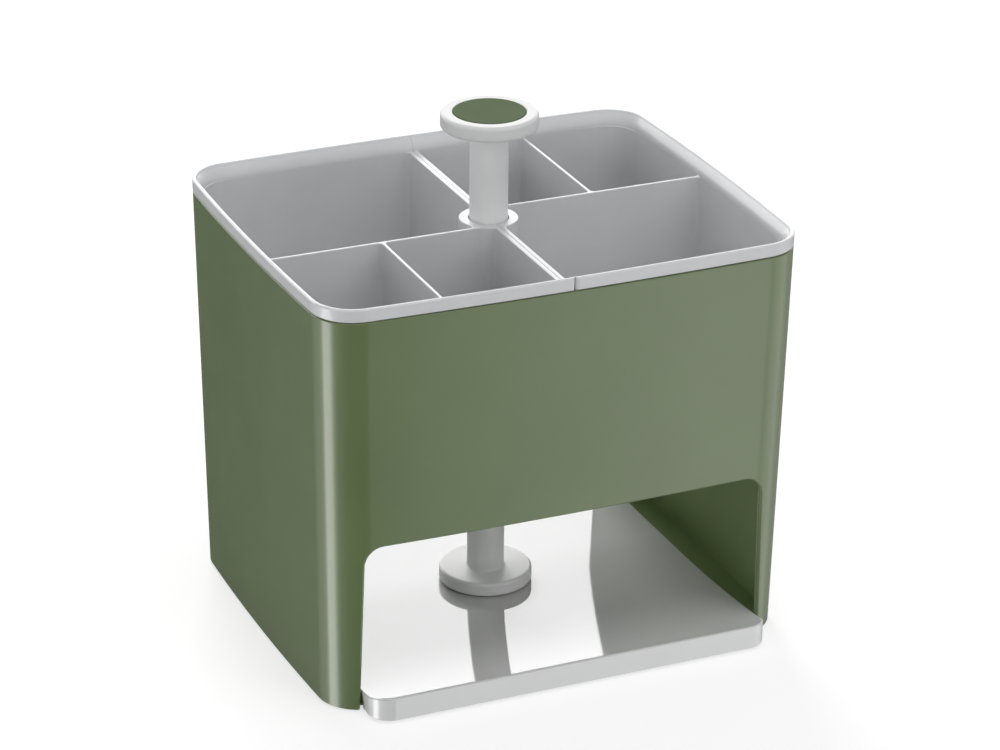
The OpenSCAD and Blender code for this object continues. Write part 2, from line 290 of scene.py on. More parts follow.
def solid(shell, loop, z0, z1, r, steps=3):
    """Upright solid on a loop, with round top and bottom edges."""
    rows = [lifted(loop, z0 + r - r * c, r - r * s, s, -c) for s, c in edge_turn(steps, 0, 90)]
    rows += [lifted(loop, z1 - r + r * c, r - r * s, s, c) for s, c in edge_turn(steps, 90, 0)]
    shell.grid(rows, closed=True)
    shell.fill([[p for p, _ in rows[0]]], DOWN)
    shell.fill([[p for p, _ in rows[-1]]], UP)


def rectangle(x0, y0, x1, y1, r):
    """Loop of an upright rectangle with round corners."""
    corners = [(r, x, y, RECT_PARTS) for x, y in ((x1, y0), (x1, y1), (x0, y1), (x0, y0))]
    return outline([line(x0, y0, 1, 0), line(x1, y0, 0, 1), line(x1, y1, -1, 0),
                    line(x0, y1, 0, -1)], corners, [1, 1, 1, 1])


def lathe(shell, profile):
    """Turns a profile of (radius, z, radial normal, upward normal) round the presser's axis."""
    angles = [2 * math.pi * k / LATHE_PARTS for k in range(LATHE_PARTS)]
    ways = [(math.cos(a), math.sin(a)) for a in angles]
    shell.grid([[((r * c, r * s, z), (n_out * c, n_out * s, n_up)) for c, s in ways]
                for r, z, n_out, n_up in profile], closed=True)


def arc(r, z, radius, start, end, steps=ARC_PARTS):
    """Profile points round a centre; 0 degrees points outward and 90 up."""
    out = []
    for k in range(steps + 1):
        a = math.radians(start + (end - start) * k / steps)
        out.append((r + radius * math.cos(a), z + radius * math.sin(a), math.cos(a), math.sin(a)))
    return out


# Casing

EDGE, TOP_EDGE = 1.0, 0.6
CORNER_STEPS, SIDE_STEPS, TOP_STEPS, ARC_STEPS = 24, 12, 26, 12
LOW_ROWS, HIGH_ROWS = 20, 26


class Plan:
    """Front right quarter of the casing's outline at one height, reached by its normal's angle."""

    def __init__(self, z):
        w, d = 2 * half_size(CASING_W, z), 2 * half_size(CASING_D, z)
        _, _, self.front, self.side = sides(w, d)
        found = crossings(inward(self.front, CORNER_R), inward(self.side, CORNER_R))
        self.centre = min(found, key=lambda c: (c[0] - w / 2) ** 2 + (c[1] + d / 2) ** 2)
        _, n_front = touch(self.front, self.centre)
        _, n_side = touch(self.side, self.centre)
        self.turn_front = math.atan2(n_front[1], n_front[0])
        self.turn_side = math.atan2(n_side[1], n_side[0])

    def at(self, angle):
        c, s = math.cos(angle), math.sin(angle)
        if angle < self.turn_front:
            _, x, y, r, _ = self.front
        elif angle < self.turn_side:
            (x, y), r = self.centre, CORNER_R
        else:
            _, x, y, r, _ = self.side
        return x + r * c, y + r * s, c, s

    def angle_at_x(self, x):
        _, cx, _, r, _ = self.front
        angle = -math.acos((x - cx) / r)
        if angle > self.turn_front:
            angle = -math.acos((x - self.centre[0]) / CORNER_R)
        return angle


def on_casing(x, z, depth=0.0):
    """Point and outward normal of the casing's front right quarter at x and height z."""
    plan = Plan(z)
    px, py, nx, ny = plan.at(plan.angle_at_x(x))
    return (px - nx * depth, py - ny * depth, z), (nx, ny, 0.0)


LEAN_ANGLE = math.atan(OPENING_LEAN)
ARC_Z = OPENING_H - OPENING_R
ARC_X = OPENING_FOOT - OPENING_LEAN * ARC_Z - OPENING_R / math.cos(LEAN_ANGLE)
ARC_END = math.pi / 2 - LEAN_ANGLE


def opening_x(z, grow):
    """Edge of the opening at the height z, moved out by grow."""
    return OPENING_FOOT + grow / math.cos(LEAN_ANGLE) - OPENING_LEAN * z


def opening_top(grow):
    """Upper edge of the opening from the middle to the side, as (x, z, outward x, outward z)."""
    rows = [(ARC_X * k / TOP_STEPS, OPENING_H + grow, 0.0, 1.0) for k in range(TOP_STEPS)]
    for k in range(ARC_STEPS + 1):
        a = ARC_END * k / ARC_STEPS
        r = OPENING_R + grow
        rows.append((ARC_X + r * math.sin(a), ARC_Z + r * math.cos(a), math.sin(a), math.cos(a)))
    return rows


def casing_sheet(shell, depth, side, z_top, z_foot):
    """Outer (side 1) or inner (side -1) face of one quarter, drawn in by depth.

    Returns its boundary along the opening, as (point, horizontal normal, x way, z way), its
    row at the foot, and its top rows beside the opening and over it.
    """
    edge = opening_top(EDGE)
    corner_z = edge[-1][1]
    levels = [z_foot + (corner_z - z_foot) * k / LOW_ROWS for k in range(LOW_ROWS)]
    high = [corner_z + (z_top - corner_z) * k / HIGH_ROWS for k in range(HIGH_ROWS + 1)]
    rows = []
    for z in levels + high:
        plan = Plan(z)
        first = plan.angle_at_x(opening_x(z, EDGE))
        turns = [first + (plan.turn_side - first) * k / CORNER_STEPS for k in range(CORNER_STEPS)]
        turns += [plan.turn_side * (1 - k / SIDE_STEPS) for k in range(SIDE_STEPS + 1)]
        row = []
        for a in turns:
            x, y, nx, ny = plan.at(a)
            row.append(((x - nx * depth, y - ny * depth, z), (nx * side, ny * side, 0.0)))
        rows.append(row)
    shell.grid(rows)
    above = []
    for k in range(HIGH_ROWS + 1):
        row = []
        for x, z, _, _ in edge[:-1]:
            share = x / opening_x(z, EDGE)
            level = z + (z_top - z) * k / HIGH_ROWS
            p, n = on_casing(share * opening_x(level, EDGE), level, depth)
            row.append((p, (n[0] * side, n[1] * side, 0.0)))
        row.append(rows[LOW_ROWS + k][0])
        above.append(row)
    shell.grid(above)
    border = [(p, n, mx, mz) for (p, n), (_, _, mx, mz) in zip(above[0], edge)]
    lean = (math.cos(LEAN_ANGLE), math.sin(LEAN_ANGLE))
    border += [(rows[k][0][0], rows[k][0][1]) + lean for k in reversed(range(LOW_ROWS))]
    return border, rows[0], rows[-1], above[-1]


def casing_quarter():
    """Front right quarter of the casing: its outside with the edges, and its inside."""
    shell, lining = Shell(), Shell()
    outer, outer_foot, outer_top, outer_top_front = casing_sheet(
        shell, 0.0, 1, CASING_TOP - TOP_EDGE, FOOT_LIFT)
    inner, inner_foot, inner_top, inner_top_front = casing_sheet(
        lining, CASING_WALL, -1, CASING_TOP, FOOT_LIFT)
    strip = []
    for (p, n, mx, mz), (q, _, _, _) in zip(outer, inner):
        along = Vector((-n[1], n[0], 0.0))
        to_hole = -(along * mx + Vector((0, 0, mz)))
        out = Vector(n)
        centre = Vector(p) - out * EDGE
        column = [(tuple(centre + (out * c + to_hole * s) * EDGE), tuple(out * c + to_hole * s))
                  for s, c in edge_turn(3, 0, 90)]
        centre = Vector(q) + out * EDGE
        column += [(tuple(centre + (to_hole * s - out * c) * EDGE), tuple(to_hole * s - out * c))
                   for s, c in edge_turn(3, 90, 0)]
        column[0], column[-1] = (p, column[0][1]), (q, column[-1][1])
        strip.append(column)
    shell.grid(strip)
    shell.fill([[p for p, _ in strip[-1]]], DOWN)
    shell.grid([[(p, DOWN) for p, _ in outer_foot], [(p, DOWN) for p, _ in inner_foot]])
    for top, inside in ((outer_top, inner_top), (outer_top_front, inner_top_front)):
        rows = []
        for s, c in edge_turn(3, 90, 0):
            rows.append([((p[0] - n[0] * TOP_EDGE * (1 - s), p[1] - n[1] * TOP_EDGE * (1 - s),
                           CASING_TOP - TOP_EDGE + TOP_EDGE * c), (n[0] * s, n[1] * s, c))
                         for p, n in top])
        shell.grid(rows)
        shell.grid([[(p, UP) for p, _ in rows[-1]], [(p, UP) for p, _ in inside]])
    return shell, lining


def build_casing():
    pieces = []
    for quarter, name in zip(casing_quarter(), ("casing_shell", "casing_lining")):
        whole = Shell()
        for sx in (1, -1):
            for sy in (1, -1):
                merge(whole, quarter, Matrix.Diagonal((sx, sy, 1)))
        pieces.append(whole.build(name))
    return pieces


def wall_x(y, z):
    """Inside of the casing's side wall at a depth and height, found by halving the angle."""
    plan = Plan(z)
    low, high = plan.turn_front, 0.0
    for _ in range(HALVINGS):
        mid = (low + high) / 2
        _, py, _, ny = plan.at(mid)
        if py - ny * CASING_WALL < -abs(y):
            low = mid
        else:
            high = mid
    x, _, nx, _ = plan.at((low + high) / 2)
    return x - nx * CASING_WALL


def corner_depth(x):
    """How far from the middle the casing's inside reaches at x, near the height of the lip."""
    inner = CORNER_R - CASING_WALL
    mid_x = half_size(CASING_W, LIP_TOP) - SIDE_BOW - CORNER_R
    mid_y = half_size(CASING_D, LIP_TOP) - SIDE_BOW - CORNER_R
    return mid_y + math.sqrt(max(inner ** 2 - max(x - mid_x, 0) ** 2, 0))


RUNNER_EDGE, WALL_SINK, LEDGE_STEPS, HALVINGS = 0.3, 0.2, 24, 40


def build_runners():
    """Ledges, guide ribs and rear stops inside the casing."""
    shell = Shell()
    guide_x = DRAWER_HALF + GUIDE_GAP
    ledge_in = DRAWER_HALF - LEDGE_UNDER
    run = corner_depth(guide_x)
    ring = [(ledge_in, run), (ledge_in, -run)]
    for k in range(LEDGE_STEPS + 1):
        y = -run + 2 * run * k / LEDGE_STEPS
        ring.append((wall_x(y, FOOT_LIFT) + WALL_SINK, y))
    for side in (1, -1):
        for (x0, y0), (x1, y1) in zip(ring, ring[1:] + ring[:1]):
            size = math.hypot(x1 - x0, y1 - y0)
            n = (side * (y1 - y0) / size, -(x1 - x0) / size, 0.0)
            shell.face([((side * x0, y0, FOOT_LIFT), n), ((side * x1, y1, FOOT_LIFT), n),
                        ((side * x1, y1, LEDGE_TOP), n), ((side * x0, y0, LEDGE_TOP), n)])
        for z, normal in ((FOOT_LIFT, DOWN), (LEDGE_TOP, UP)):
            shell.fill([[(side * x, y, z) for x, y in ring]], normal)
        for x_in, x_out, y_front in ((guide_x, guide_x + GUIDE_T, -run),
                                     (ledge_in, guide_x, DRAWER_REAR + SEAT_GAP)):
            x0, x1 = sorted((side * x_in, side * x_out))
            solid(shell, rectangle(x0, y_front, x1, run, RUNNER_EDGE),
                  FOOT_LIFT, LEDGE_TOP + GUIDE_H, RUNNER_EDGE)
    return shell.build("casing_runners")


# Trays

POCKET_EDGE, POCKET_FILLET, BODY_EDGE, FOOT_EDGE = 0.4, 1.1, 0.25, 1.0
RIM_OUTER_EDGE, RIM_INNER_EDGE, RIM_FOOT_EDGE, BORE_EDGE = 1.0, 0.8, 0.25, 0.5
SLOT_IN, SLOT_H, SLOT_WALL, TOP_FLARE = 1.0, 0.5, 0.3, 0.3
FUNNEL_DROP, FUNNEL_SEAM, SKIRT_H, SKIRT_IN = 0.5, 0.12, 4.5, 0.05
BORE_ZONE, BORE_FOOT_EDGE, RIM_END_T = 9.5, 0.45, 0.5
POCKET_ROWS, BODY_ROWS, RIM_STEPS, FUNNEL_STEPS, END_STEPS = 8, 6, 5, 12, 7
LONG_STEPS, SHORT_STEPS, TURN_STEPS, SPLIT_STEPS, BORE_STEPS = 16, 14, 16, 6, 28


def body_loop(z, inset, bore):
    """Left half of the plan: round corners at the split, and half of the post's bore, if any."""
    w = 2 * (half_size(CASING_W, z) - inset)
    d = 2 * (half_size(CASING_D, z) - inset)
    back, left, front, _ = sides(w, d)
    split = line(-SPLIT_GAP / 2, 0, 0, 1)
    r = CORNER_R - inset
    prims, steps = [back, left, front, split], [LONG_STEPS, SHORT_STEPS, LONG_STEPS, 1]
    corners = [(r, -w / 2, d / 2, TURN_STEPS), (r, -w / 2, -d / 2, TURN_STEPS),
               (SPLIT_R, 0, -d / 2, SPLIT_STEPS)]
    if bore:
        prims += [circle(0, 0, bore, False), split]
        steps[3:] = [4, BORE_STEPS, 4]
        corners += [(BORE_EDGE, -BORE_EDGE, y, 4) for y in (-bore - BORE_EDGE, bore + BORE_EDGE)]
    return outline(prims, corners + [(SPLIT_R, 0, d / 2, SPLIT_STEPS)], steps)


def pocket_loops():
    """The three compartments at the tray's floor."""
    inset = TRAY_INSET + TRAY_WALL
    w = 2 * (half_size(CASING_W, TRAY_FLOOR_Z) - inset)
    d = 2 * (half_size(CASING_D, TRAY_FLOOR_Z) - inset)
    back, left, front, _ = sides(w, d)
    corner = CORNER_R - inset
    ring = circle(0, 0, RING_R, False)
    half = DIVIDER_T / 2
    wall = line(-LONG_WALL_T, 0, 0, 1)
    y_large, y_small = -CROSS_Y + half, -CROSS_Y - half
    x_inner, x_outer = -SMALL_X + half, -SMALL_X - half
    r, n, turn, near = POCKET_R, 8, 14, 4
    meet_wall = math.sqrt(RING_R ** 2 - LONG_WALL_T ** 2)
    meet_large = math.sqrt(RING_R ** 2 - y_large ** 2)
    meet_small = math.sqrt(RING_R ** 2 - y_small ** 2)
    large = outline(
        [back, left, line(0, y_large, 1, 0), ring, wall],
        [(corner, -w / 2, d / 2, turn), (r, -w / 2, y_large, n),
         (r, -meet_large - near, y_large + near, n),
         (r, -LONG_WALL_T - near, meet_wall + near, n), (r, -LONG_WALL_T, d / 2, n)],
        [12, 10, 10, 10, 8])
    inner = outline(
        [line(0, y_small, -1, 0), line(x_inner, 0, 0, -1), front, wall, ring],
        [(r, x_inner, y_small, n), (r, x_inner, -d / 2, n), (r, -LONG_WALL_T, -d / 2, n),
         (r, -LONG_WALL_T - near, -meet_wall - near, n),
         (r, -meet_small - near, y_small - near, n)],
        [6, 8, 6, 8, 4])
    outer = outline(
        [line(0, y_small, -1, 0), left, front, line(x_outer, 0, 0, 1)],
        [(r, -w / 2, y_small, n), (corner, -w / 2, -d / 2, turn),
         (r, x_outer, -d / 2, n), (r, x_outer, y_small, n)],
        [6, 8, 6, 8])
    return [large, inner, outer]


def drafted(loop, z, inset):
    """A loop of the tray's floor, spread as the casing spreads toward its top."""
    fx = (half_size(CASING_W, z) - inset) / (half_size(CASING_W, TRAY_FLOOR_Z) - inset)
    fy = (half_size(CASING_D, z) - inset) / (half_size(CASING_D, TRAY_FLOOR_Z) - inset)
    return [(x * fx, y * fy, nx, ny) for x, y, nx, ny in loop]


def half_tray():
    """Compartments, body and rim of the left tray."""
    shell = Shell()
    inset = TRAY_INSET + TRAY_WALL
    bore = POST_R + POST_GAP
    holes = []
    edge_z, fillet_z = SHOULDER_Z - POCKET_EDGE, TRAY_FLOOR_Z + POCKET_FILLET
    for loop in pocket_loops():
        top = drafted(loop, SHOULDER_Z, inset)
        rows = [lifted(top, edge_z + POCKET_EDGE * c, -TOP_FLARE - POCKET_EDGE * (1 - s), -s, c)
                for s, c in edge_turn(4, 0, 90)]
        holes.append([p for p, _ in rows[0]])
        for k in range(1, POCKET_ROWS + 1):
            share = k / POCKET_ROWS
            z = edge_z + (fillet_z - edge_z) * share
            rows.append(lifted(drafted(loop, z, inset), z, -TOP_FLARE * (1 - share), -1.0, 0.0))
        rows += [lifted(loop, fillet_z - POCKET_FILLET * s, POCKET_FILLET * (1 - c), -c, s)
                 for s, c in edge_turn(5, 0, 90)]
        shell.grid(rows, closed=True)
        shell.fill([[p for p, _ in rows[-1]]], UP)
    edge_z, foot_z = SHOULDER_Z - BODY_EDGE, TRAY_FOOT + FOOT_EDGE
    shoulder = body_loop(SHOULDER_Z, TRAY_INSET, bore)
    rows = [lifted(shoulder, edge_z + BODY_EDGE * c, BODY_EDGE * (1 - s), s, c)
            for s, c in edge_turn(2, 0, 90)]
    rim_line = [p for p, _ in rows[0]]
    for k in range(1, BODY_ROWS + 1):
        z = edge_z + (foot_z - edge_z) * k / BODY_ROWS
        rows.append(lifted(body_loop(z, TRAY_INSET, bore), z, 0.0, 1.0, 0.0))
    foot = body_loop(foot_z, TRAY_INSET, bore)
    for s, c in edge_turn(3, 90, 0):
        row = []
        for x, y, nx, ny in foot:
            most = BORE_FOOT_EDGE if abs(x) < BORE_ZONE else FOOT_EDGE
            drawn = min(FOOT_EDGE * (1 - s), most)
            row.append(((x - nx * drawn, y - ny * drawn, foot_z - FOOT_EDGE * c),
                        (nx * s, ny * s, -c)))
        rows.append(row)
    shell.grid(rows, closed=True)
    shell.fill([[p for p, _ in rows[-1]]], DOWN)
    shell.fill([rim_line] + holes, UP)
    rim_band(shell)
    return shell


def rim_section(start):
    """Section of the rim band, as (inset, height, inward normal, upward normal).

    It starts at the inset start and runs from under the band, round its top, down to the
    funnel that leads into the compartments.
    """
    half = (RIM_T - start) * 0.5
    outer, inner, low = (min(r, half) for r in (RIM_OUTER_EDGE, RIM_INNER_EDGE, RIM_FOOT_EDGE))
    slot = max(start + SLOT_WALL, SLOT_IN)
    slot_z = CASING_TOP + SLOT_H
    out = [(TRAY_INSET + TRAY_GAP, CASING_TOP, 0.0, -1.0), (slot, CASING_TOP, 0.0, -1.0),
           (slot, CASING_TOP, -1.0, 0.0), (slot, slot_z, -1.0, 0.0), (slot, slot_z, 0.0, -1.0)]
    for s, c in edge_turn(3, 0, 90):
        out.append((start + low - low * s, slot_z + low - low * c, -s, -c))
    for s, c in edge_turn(RIM_STEPS, 0, 90):
        out.append((start + outer - outer * c, RIM_TOP - outer + outer * s, -c, s))
    slope = math.atan2(TRAY_INSET + RIM_NECK - RIM_T, RIM_TOP - SHOULDER_Z)
    for s, c in edge_turn(RIM_STEPS, 0, 90 - math.degrees(slope)):
        out.append((RIM_T - inner + inner * s, RIM_TOP - inner + inner * c, s, c))
    face, face_z = out[-1][:2]
    wall_z = SHOULDER_Z - FUNNEL_DROP
    wall_in = TRAY_INSET + TRAY_WALL - TOP_FLARE + FUNNEL_SEAM
    for k in range(1, FUNNEL_STEPS + 1):
        t = k / FUNNEL_STEPS
        tilt = (wall_in - face) * (2 - 2 * t) / (face_z - wall_z)
        out.append((face + (wall_in - face) * t * (2 - t), face_z + (wall_z - face_z) * t,
                    1 / math.hypot(1, tilt), tilt / math.hypot(1, tilt)))
    out.append((wall_in + SKIRT_IN, wall_z - SKIRT_H, 1.0, 0.0))
    return out


def rim_band(shell):
    """The band on top of the casing: a section swept round the half plan, with round ends."""
    loop = body_loop(CASING_TOP, 0.0, 0)
    lead = 2 * (LONG_STEPS + 1) + 2 * (TURN_STEPS - 1) + SHORT_STEPS + 1
    base = [(x, y, nx, ny, 0.0, nx, ny) for x, y, nx, ny in loop[:lead]]
    plan_back, _, plan_front, _ = sides(CASING_W, CASING_D)
    ends = []
    for (_, cx, cy, r, _), sy in ((plan_back, 1), (plan_front, -1)):
        part = []
        for k in range(1, END_STEPS + 1):
            a = math.pi / 2 * k / END_STEPS
            x = -SPLIT_GAP / 2 - SPLIT_R + SPLIT_R * math.sin(a)
            y = cy + sy * math.sqrt(r ** 2 - x * x)
            start = min(SPLIT_R * (1 - math.cos(a)), RIM_T - RIM_END_T)
            part.append((x, y, (x - cx) / r, (y - cy) / r, start, math.sin(a), sy * math.cos(a)))
        ends.append(part)
    path = ends[0][::-1] + base + ends[1]
    columns = []
    for x, y, nx, ny, start, ox, oy in path:
        column = []
        for inset, z, n_in, n_up in rim_section(start):
            inset -= DRAFT * (z - CASING_TOP) / CASING_TOP
            hx, hy = (-nx * n_in, -ny * n_in) if n_in > 0 else (-ox * n_in, -oy * n_in)
            column.append(((x - nx * inset, y - ny * inset, z), (hx, hy, n_up)))
        columns.append(column)
    shell.grid(columns)
    for column in (columns[0], columns[-1]):
        shell.fill([[p for p, _ in column]], (1.0, 0.0, 0.0))


def build_trays():
    """Both trays: the right one is the left one turned by half a turn."""
    left, right = half_tray(), Shell()
    merge(right, left, Matrix.Diagonal((-1, -1, 1)))
    return left.build("tray_left"), right.build("tray_right")


# Presser

CENTRE, INLAY_GAP, INLAY_EDGE, INLAY_BEVEL = 0.01, 0.12, 0.4, 0.05
POCKET_LIP, POST_FILLET, POST_ROWS = 0.45, 0.9, 30


def build_presser():
    """Post, knob, its inlay and the foot disc, by name."""
    names = ("post_sleeve", "knob_body", "knob_cap", "foot_disc")
    tube, knob, inlay, disc = shells = [Shell() for _ in names]
    lathe(tube, [(POST_R, DISC_TOP + (KNOB_FOOT - DISC_TOP) * k / POST_ROWS, 1, 0)
                 for k in range(POST_ROWS + 1)])
    e, top = KNOB_EDGE, KNOB_TOP
    floor_z, pocket = top - INLAY_POCKET, INLAY_R + INLAY_GAP
    lathe(knob, [(POST_R, KNOB_FOOT, 0, -1), (KNOB_R - e, KNOB_FOOT, 0, -1)]
          + arc(KNOB_R - e, KNOB_FOOT + e, e, -90, 0)
          + arc(KNOB_R - e, top - e, e, 0, 90)
          + arc(pocket + POCKET_LIP, top - POCKET_LIP, POCKET_LIP, 90, 180, 4)
          + [(pocket, floor_z, -1, 0)])
    lathe(knob, [(pocket, floor_z, 0, 1), (CENTRE, floor_z, 0, 1)])
    inlay_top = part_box("knob_inlay")[1].z / MM
    lathe(inlay, [(CENTRE, floor_z, 0, -1), (INLAY_R - INLAY_BEVEL, floor_z, 0, -1)])
    lathe(inlay, [(INLAY_R, floor_z, 1, 0)]
          + arc(INLAY_R - INLAY_EDGE, inlay_top - INLAY_EDGE, INLAY_EDGE, 0, 90, 4)
          + [(r, inlay_top, 0, 1) for r in (12, 8, 4, CENTRE)])
    e, foot = DISC_EDGE, DISC_TOP - DISC_T
    lathe(disc, [(CENTRE, foot, 0, -1), (DISC_R - e, foot, 0, -1)]
          + arc(DISC_R - e, foot + e, e, -90, 0) + arc(DISC_R - e, DISC_TOP - e, e, 0, 90)
          + [(r, DISC_TOP, 0, 1) for r in (15, 12)]
          + [(POST_R + POST_FILLET * (1 - s), DISC_TOP + POST_FILLET * (1 - c), s, c)
             for s, c in edge_turn(9, 0, 90)])
    return {name: shell.build(name) for name, shell in zip(names, shells)}


# Drawer

DRAWER_EDGE, LIP_ROUND, LIP_STEEP, LIP_FADE = 0.5, 0.5, math.radians(75), 18.0
EAR_EDGE, EAR_CORNER, FLOOR_STEPS = 0.3, 0.4, 8
ROUND_STEPS, HOLLOW_STEPS, RUN_STEPS, BEND_STEPS, FRONT_STEPS = 6, 12, 60, 16, 10
FLOOR_END = LIP_T + LIP_FILLET - DRAWER_FRONT
FLOOR_RUN = -RISE_FROM - FLOOR_END
FLOOR_RISE = LIP_TOP - LIP_FILLET - DRAWER_FLOOR


def floor_at(y):
    """Height and slope of the drawer's floor, which rises toward the front."""
    t = max((-RISE_FROM - y) / FLOOR_RUN, 0.0)
    if t <= 1:
        return DRAWER_FLOOR + FLOOR_RISE * t * t, -2 * FLOOR_RISE * t / FLOOR_RUN
    return DRAWER_FLOOR + FLOOR_RISE, 0.0


def lip_section():
    """Lip from its outer edge to the floor, as (inset, height over the floor, slope)."""
    out = [(DRAWER_EDGE, LIP_FILLET, 0.0)]
    for k in range(ROUND_STEPS + 1):
        a = LIP_STEEP * k / ROUND_STEPS
        out.append((LIP_T - LIP_ROUND + LIP_ROUND * math.sin(a),
                    LIP_FILLET - LIP_ROUND * (1 - math.cos(a)), -math.tan(a)))
    join, height, _ = out[-1]
    r = height / (1 - math.cos(LIP_STEEP))
    for k in range(1, HOLLOW_STEPS + 1):
        a = LIP_STEEP * (1 - k / HOLLOW_STEPS)
        out.append((join + r * (math.sin(LIP_STEEP) - math.sin(a)), r * (1 - math.cos(a)),
                    -math.tan(a)))
    return out


def mirrored(path):
    return [(-x, y, -nx, ny, share) for x, y, nx, ny, share in reversed(path)]


def drawer_path():
    """The drawer's left side, front and right side, anticlockwise.

    Each is a list of (x, y, nx, ny, share of the lip's height).
    """
    r, half, front = DRAWER_CORNER_R, DRAWER_HALF, -DRAWER_FRONT
    turn_y = front + r
    turn = r * math.pi / 2

    def share(left_to_go):
        t = min(max(1 - left_to_go / LIP_FADE, 0.0), 1.0)
        return t * t * (3 - 2 * t)

    left = []
    start = DRAWER_REAR - DRAWER_EDGE
    for k in range(RUN_STEPS + 1):
        y = start + (turn_y - start) * k / RUN_STEPS
        left.append((-half, y, -1.0, 0.0, share(turn + y - turn_y)))
    for k in range(1, BEND_STEPS + 1):
        a = math.pi + math.pi / 2 * k / BEND_STEPS
        left.append((-half + r + r * math.cos(a), turn_y + r * math.sin(a),
                     math.cos(a), math.sin(a), share(turn * (1 - k / BEND_STEPS))))
    middle = [((-half + r) * (1 - k / FRONT_STEPS), front, 0.0, -1.0, 1.0)
              for k in range(1, FRONT_STEPS)]
    middle += [(0.0, front, 0.0, -1.0, 1.0)] + mirrored(middle)
    return left, middle, mirrored(left)


def build_drawer():
    """The glossy top of the drawer and its satin sides."""
    top_shell, shell = Shell(), Shell()
    e = DRAWER_EDGE
    left, middle, right = drawer_path()
    columns, wall = [], []
    for x, y, nx, ny, share in left + middle + right:
        column = []
        for inset, height, slope in lip_section():
            px, py = x - nx * inset, y - ny * inset
            z, fall = floor_at(py)
            column.append(((px, py, z + share * height),
                           (share * slope * nx, share * slope * ny - fall, 1.0)))
        top = column[0][0][2]
        edge = [((x - nx * (e - e * s), y - ny * (e - e * s), top - e + e * c), (nx * s, ny * s, c))
                for s, c in edge_turn(4, 90, 0)]
        columns.append(edge[:-1] + column)
        wall.append((x, y, top - e, nx, ny))
    top_shell.grid(columns)
    inner = [column[-1] for column in columns]
    count = len(left)
    rows = []
    for a, b in zip(inner[:count], reversed(inner[-count:])):
        (x0, y, z), x1 = a[0], b[0][0]
        rows.append([((x0 + (x1 - x0) * k / FLOOR_STEPS, y, z), (0.0, -floor_at(y)[1], 1.0))
                     for k in range(FLOOR_STEPS + 1)])
    top_shell.grid(rows)
    shell.grid([[((x, y, z), (ox, oy, 0.0)), ((x, y, LEDGE_TOP + e), (ox, oy, 0.0))]
                for x, y, z, ox, oy in wall])

    def foot(path, z):
        turns = [[((x - ox * (e - e * s), y - oy * (e - e * s), z + e - e * c),
                   (ox * s, oy * s, -c)) for s, c in edge_turn(3, 90, 0)]
                 for x, y, _, ox, oy in path]
        shell.grid(turns)
        shell.fill([[turn[-1][0] for turn in turns]], DOWN)

    foot(wall, LEDGE_TOP)
    nose = [w for w in wall if w[1] <= -corner_depth(DRAWER_HALF) - CASING_WALL]
    foot(nose, FASCIA_FOOT)
    shell.grid([[((x, y, LEDGE_TOP + e), (ox, oy, 0.0)), ((x, y, FASCIA_FOOT + e), (ox, oy, 0.0))]
                for x, y, _, ox, oy in nose])
    x, y = nose[0][0], nose[0][1]
    shell.face([((x, y, FASCIA_FOOT), BACK), ((-x, y, FASCIA_FOOT), BACK),
                ((-x, y, LEDGE_TOP + e), BACK), ((x, y, LEDGE_TOP + e), BACK)])
    x, y = -DRAWER_HALF, DRAWER_REAR
    rear_z = DRAWER_FLOOR - e
    shell.grid([[((x + e, y - e * (1 - s), rear_z + e * c), (0.0, s, c)),
                 ((-x - e, y - e * (1 - s), rear_z + e * c), (0.0, s, c))]
                for s, c in edge_turn(4, 0, 90)])
    shell.face([((x + e, y, LEDGE_TOP), BACK), ((-x - e, y, LEDGE_TOP), BACK),
                ((-x - e, y, rear_z), BACK), ((x + e, y, rear_z), BACK)])
    shell.face([((x + e, y, LEDGE_TOP), DOWN), ((-x - e, y, LEDGE_TOP), DOWN),
                ((-x - e, y - e, LEDGE_TOP), DOWN), ((x + e, y - e, LEDGE_TOP), DOWN)])
    for side in (1, -1):
        out = (side * 1.0, 0.0, 0.0)
        x = side * (DRAWER_HALF - e)
        shell.face([((x, y, LEDGE_TOP), out), ((x, y - e, LEDGE_TOP), out),
                    ((x, y - e, DRAWER_FLOOR), out), ((x, y, rear_z), out)])
    ear_x = DRAWER_HALF + EAR_OUT
    ear_y = DRAWER_TRAVEL - corner_depth(ear_x) + SEAT_GAP
    ear_foot = LEDGE_TOP + GUIDE_H + SEAT_GAP
    for side in (1, -1):
        x0, x1 = sorted((side * (DRAWER_HALF - EAR_ROOT), side * ear_x))
        solid(shell, rectangle(x0, ear_y, x1, ear_y + EAR_L, EAR_CORNER),
              ear_foot, ear_foot + EAR_T, EAR_EDGE)
    return top_shell.build("drawer_tray"), shell.build("drawer_sides")


# Materials

# Scale and detail of the noise in colour and in gloss, then the fine grain's detail and depth
MOTTLE, PATCHES, GRAIN_DETAIL, GRAIN_DEPTH = (22.0, 4.0), (60.0, 3.0), 2.0, 0.0004
NOISE_SPAN, ROUGH_VARY = (0.3, 0.7), 0.15


def link(tree, a, out, b, into):
    tree.links.new(a.outputs[out], b.inputs[into])


def rescale(tree, source, ends, into=(0.0, 1.0)):
    """Maps a value linearly from one pair of ends to another."""
    node = tree.nodes.new("ShaderNodeMapRange")
    for socket, value in zip(("From Min", "From Max", "To Min", "To Max"), ends + into):
        node.inputs[socket].default_value = value
    tree.links.new(source, node.inputs["Value"])
    return node.outputs["Result"]


